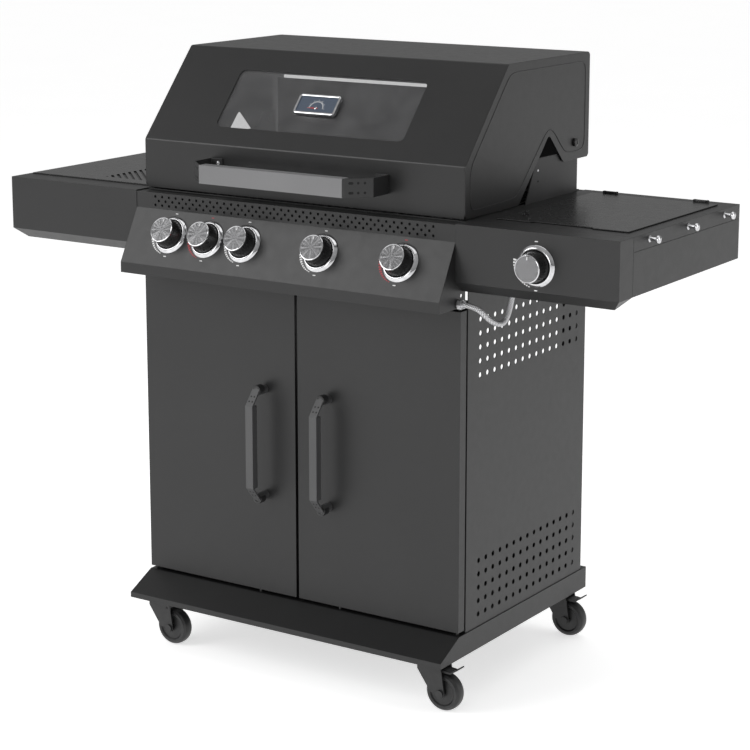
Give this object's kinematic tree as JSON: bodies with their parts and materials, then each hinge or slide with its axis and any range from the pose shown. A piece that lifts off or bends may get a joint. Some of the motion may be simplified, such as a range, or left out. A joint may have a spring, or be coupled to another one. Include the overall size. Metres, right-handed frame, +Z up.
{
  "type": "gas barbecue grill",
  "caption": "Black cart barbecue with a windowed hinged hood, gas burners behind turn knobs, side shelves, a covered side burner, cabinet doors and swivel casters.",
  "frame": {"origin": "on the floor, in the middle of the casters' swivel axes; X = 0 is the cabinet's centre line", "axes": "+X to the right seen from the front, +Y to the back, +Z up"},
  "size_m": [1.343, 0.5535, 1.1353],
  "materials": {
    "cabinet_paint": "matt black powder coat",
    "hood_paint": "satin black powder coat",
    "worktop_paint": "satin black powder coat",
    "handle_paint": "satin dark grey",
    "bracket_paint": "satin near-black",
    "enamel": "baked black enamel",
    "inner_steel": "brushed stainless steel",
    "grate_iron": "matt enamelled cast iron",
    "bright_steel": "polished chrome",
    "knob_grip": "satin black with a brushed metal face",
    "zinc": "zinc plated",
    "hose_braid": "braided sleeve",
    "lid_glass": "clear tempered glass",
    "dial_face": "slate blue dial in a chrome case",
    "needle_red": "red",
    "caster_plastic": "matt black"
  },
  "bodies": {
    "cart": {"base_tray": "cabinet_paint", "side_panel_left": "cabinet_paint", "side_panel_right": "cabinet_paint", "back_panel": "cabinet_paint", "front_frame": "cabinet_paint", "firebox": "enamel", "firebox_wings": "enamel", "control_panel": "cabinet_paint", "knob_bezels": "bright_steel", "gas_manifold": "zinc", "burner_tubes": "inner_steel", "flame_tamers": "inner_steel", "cooking_grates": "grate_iron", "warming_rack": "bright_steel", "rear_burner": "inner_steel", "left_shelf_frame": "cabinet_paint", "left_shelf_top": "worktop_paint", "right_shelf_frame": "cabinet_paint", "side_burner": "zinc", "pot_support": "grate_iron", "utensil_hooks": "bright_steel", "gas_hose": "hose_braid", "hinge_pins": "bracket_paint", "caster_plates": "zinc"},
    "lid": {"lid_shell": "hood_paint", "lid_ends": "hood_paint", "window_glass": "lid_glass", "window_frame": "enamel", "lid_handle_bar": "handle_paint", "lid_handle_brackets": "bracket_paint", "thermometer_case": "dial_face"},
    "dial_needle": {"thermometer_needle": "needle_red"},
    "left_door": {"door_left": "cabinet_paint", "door_left_handle": "handle_paint"},
    "right_door": {"door_right": "cabinet_paint", "door_right_handle": "handle_paint"},
    "burner_cover": {"side_burner_lid": "worktop_paint"},
    "drip_tray": {"grease_tray": "inner_steel"},
    "knob_1_spindle": {"knob_1_stem": "zinc"},
    "knob_1_cap": {"knob_1": "knob_grip"},
    "knob_2_spindle": {"knob_2_stem": "zinc"},
    "knob_2_cap": {"knob_2": "knob_grip"},
    "knob_3_spindle": {"knob_3_stem": "zinc"},
    "knob_3_cap": {"knob_3": "knob_grip"},
    "knob_4_spindle": {"knob_4_stem": "zinc"},
    "knob_4_cap": {"knob_4": "knob_grip"},
    "knob_5_spindle": {"knob_5_stem": "zinc"},
    "knob_5_cap": {"knob_5": "knob_grip"},
    "knob_6_spindle": {"knob_6_stem": "zinc"},
    "knob_6_cap": {"knob_6": "knob_grip"},
    "swivel_front_left": {"caster_fork_front_left": "caster_plastic"},
    "roller_front_left": {"caster_wheel_front_left": "caster_plastic"},
    "swivel_front_right": {"caster_fork_front_right": "caster_plastic"},
    "roller_front_right": {"caster_wheel_front_right": "caster_plastic"},
    "brake_front_right": {"brake_lever_front_right": "caster_plastic"},
    "swivel_rear_left": {"caster_fork_rear_left": "caster_plastic"},
    "roller_rear_left": {"caster_wheel_rear_left": "caster_plastic"},
    "swivel_rear_right": {"caster_fork_rear_right": "caster_plastic"},
    "roller_rear_right": {"caster_wheel_rear_right": "caster_plastic"},
    "brake_rear_right": {"brake_lever_rear_right": "caster_plastic"}
  },
  "joints": [
    {"name": "lid_hinge", "type": "hinge", "parent": "cart", "child": "lid", "pos_m": [0, 0.1794, 0.9723], "axis": [-1, 0, 0], "range_deg": [0, 85]},
    {"name": "left_door_hinge", "type": "hinge", "parent": "cart", "child": "left_door", "pos_m": [-0.34, -0.207, 0.43], "axis": [0, 0, -1], "range_deg": [0, 110]},
    {"name": "right_door_hinge", "type": "hinge", "parent": "cart", "child": "right_door", "pos_m": [0.34, -0.207, 0.43], "axis": [0, 0, 1], "range_deg": [0, 110]},
    {"name": "burner_cover_hinge", "type": "hinge", "parent": "cart", "child": "burner_cover", "pos_m": [0.51, 0.193, 0.8824], "axis": [-1, 0, 0], "range_deg": [0, 95]},
    {"name": "drip_tray_slide", "type": "slide", "parent": "cart", "child": "drip_tray", "axis": [0, 1, 0], "range_m": [0, 0.3]},
    {"name": "needle_turn", "type": "hinge", "parent": "lid", "child": "dial_needle", "pos_m": [0, -0.14663, 1.0405], "axis": [0, 0.7522, -0.6589], "range_deg": [0, 180]},
    {"name": "knob_1_turn", "type": "hinge", "parent": "cart", "child": "knob_1_spindle", "pos_m": [-0.25125, -0.25846, 0.80499], "axis": [0, -0.8852, 0.4652], "range_deg": [0, 180]},
    {"name": "knob_1_push", "type": "slide", "parent": "knob_1_spindle", "child": "knob_1_cap", "axis": [0, 0.8852, -0.4652], "range_m": [0, 0.003], "stiffness_N_per_m": 800},
    {"name": "knob_2_turn", "type": "hinge", "parent": "cart", "child": "knob_2_spindle", "pos_m": [-0.1675, -0.25846, 0.80499], "axis": [0, -0.8852, 0.4652], "range_deg": [0, 180]},
    {"name": "knob_2_push", "type": "slide", "parent": "knob_2_spindle", "child": "knob_2_cap", "axis": [0, 0.8852, -0.4652], "range_m": [0, 0.003], "stiffness_N_per_m": 800},
    {"name": "knob_3_turn", "type": "hinge", "parent": "cart", "child": "knob_3_spindle", "pos_m": [-0.08375, -0.25846, 0.80499], "axis": [0, -0.8852, 0.4652], "range_deg": [0, 180]},
    {"name": "knob_3_push", "type": "slide", "parent": "knob_3_spindle", "child": "knob_3_cap", "axis": [0, 0.8852, -0.4652], "range_m": [0, 0.003], "stiffness_N_per_m": 800},
    {"name": "knob_4_turn", "type": "hinge", "parent": "cart", "child": "knob_4_spindle", "pos_m": [0.08375, -0.25846, 0.80499], "axis": [0, -0.8852, 0.4652], "range_deg": [0, 180]},
    {"name": "knob_4_push", "type": "slide", "parent": "knob_4_spindle", "child": "knob_4_cap", "axis": [0, 0.8852, -0.4652], "range_m": [0, 0.003], "stiffness_N_per_m": 800},
    {"name": "knob_5_turn", "type": "hinge", "parent": "cart", "child": "knob_5_spindle", "pos_m": [0.25125, -0.25846, 0.80499], "axis": [0, -0.8852, 0.4652], "range_deg": [0, 180]},
    {"name": "knob_5_push", "type": "slide", "parent": "knob_5_spindle", "child": "knob_5_cap", "axis": [0, 0.8852, -0.4652], "range_m": [0, 0.003], "stiffness_N_per_m": 800},
    {"name": "knob_6_turn", "type": "hinge", "parent": "cart", "child": "knob_6_spindle", "pos_m": [0.506, -0.2374, 0.822], "axis": [0, -1, 0], "range_deg": [0, 180]},
    {"name": "knob_6_push", "type": "slide", "parent": "knob_6_spindle", "child": "knob_6_cap", "axis": [0, 1, 0], "range_m": [0, 0.003], "stiffness_N_per_m": 800},
    {"name": "swivel_front_left", "type": "hinge", "parent": "cart", "child": "swivel_front_left", "pos_m": [-0.306, -0.229, 0.085], "axis": [0, 0, 1], "continuous": true},
    {"name": "roll_front_left", "type": "hinge", "parent": "swivel_front_left", "child": "roller_front_left", "pos_m": [-0.2825, -0.229, 0.035], "axis": [0, 1, 0], "continuous": true},
    {"name": "swivel_front_right", "type": "hinge", "parent": "cart", "child": "swivel_front_right", "pos_m": [0.306, -0.229, 0.085], "axis": [0, 0, 1], "continuous": true},
    {"name": "roll_front_right", "type": "hinge", "parent": "swivel_front_right", "child": "roller_front_right", "pos_m": [0.3295, -0.229, 0.035], "axis": [0, 1, 0], "continuous": true},
    {"name": "brake_front_right", "type": "hinge", "parent": "swivel_front_right", "child": "brake_front_right", "pos_m": [0.3255, -0.229, 0.075], "axis": [0, 1, 0], "range_deg": [0, 14]},
    {"name": "swivel_rear_left", "type": "hinge", "parent": "cart", "child": "swivel_rear_left", "pos_m": [-0.306, 0.229, 0.085], "axis": [0, 0, 1], "continuous": true},
    {"name": "roll_rear_left", "type": "hinge", "parent": "swivel_rear_left", "child": "roller_rear_left", "pos_m": [-0.2825, 0.229, 0.035], "axis": [0, 1, 0], "continuous": true},
    {"name": "swivel_rear_right", "type": "hinge", "parent": "cart", "child": "swivel_rear_right", "pos_m": [0.306, 0.229, 0.085], "axis": [0, 0, 1], "continuous": true},
    {"name": "roll_rear_right", "type": "hinge", "parent": "swivel_rear_right", "child": "roller_rear_right", "pos_m": [0.3295, 0.229, 0.035], "axis": [0, 1, 0], "continuous": true},
    {"name": "brake_rear_right", "type": "hinge", "parent": "swivel_rear_right", "child": "brake_rear_right", "pos_m": [0.3255, 0.229, 0.075], "axis": [0, 1, 0], "range_deg": [0, 14]}
  ]
}
